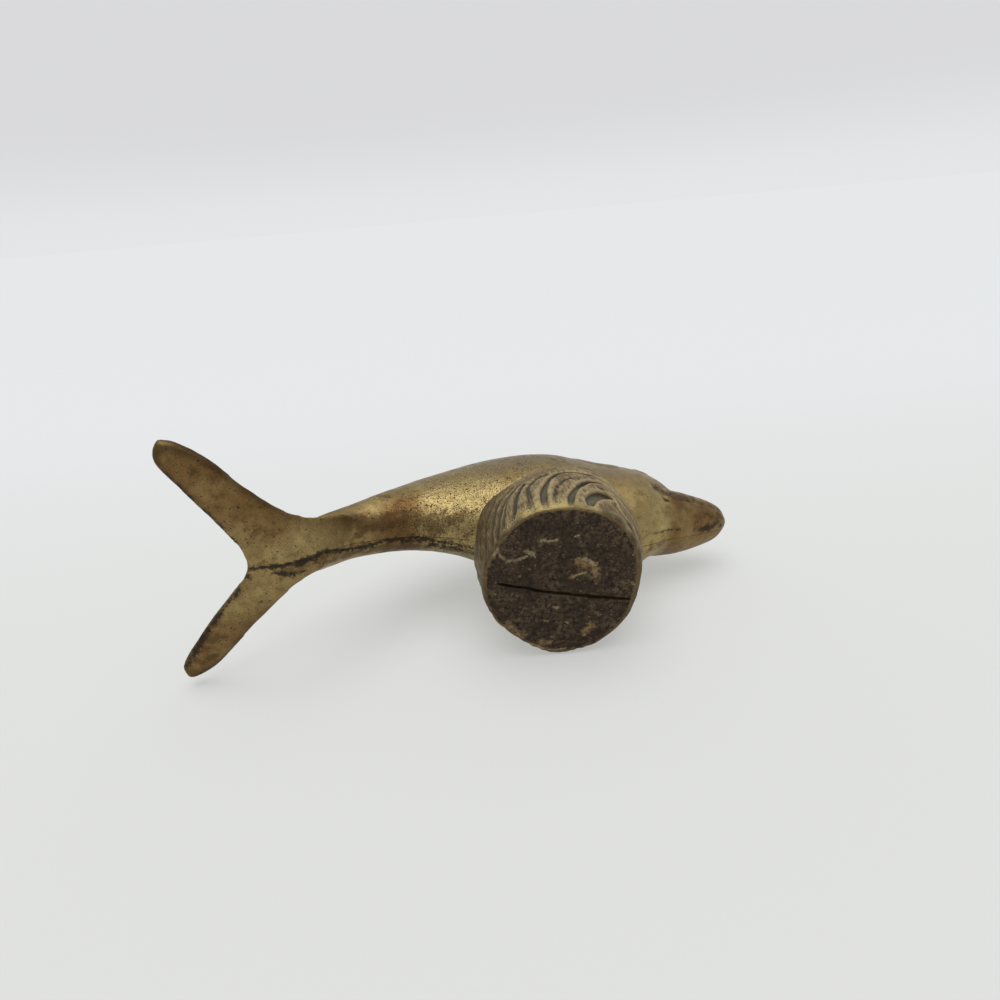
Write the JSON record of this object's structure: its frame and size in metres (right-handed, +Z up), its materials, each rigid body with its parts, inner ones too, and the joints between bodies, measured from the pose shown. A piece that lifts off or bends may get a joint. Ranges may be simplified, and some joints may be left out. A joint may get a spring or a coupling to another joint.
{
  "type": "brass dolphin figurine",
  "caption": "Small cast brass dolphin riding a breaking wave, a free-standing ornament with a flat felt pad under its base.",
  "frame": {"origin": "bottom centre of the whole figurine's box, on the surface that the pad stands on", "axes": "+X from the tail to the beak, +Y towards the dolphin's left side, +Z up"},
  "size_m": [0.1492, 0.0658, 0.0738],
  "materials": {
    "polished_brass": "aged polish, olive and brown patina with fine pits",
    "carved_brass": "matte carved brass, dark in the grooves",
    "seam_braze": "dark tarnished seam",
    "felt": "worn dark brown felt with glue specks"
  },
  "bodies": {
    "root": {"right_dolphin_casting": "polished_brass", "left_dolphin_casting": "polished_brass", "dolphin_seam_braze": "seam_braze", "right_wave_casting": "carved_brass", "left_wave_casting": "carved_brass", "wave_seam_braze": "seam_braze", "back_fin": "polished_brass", "right_flipper": "polished_brass", "left_flipper": "polished_brass", "base_pad": "felt"}
  },
  "joints": []
}
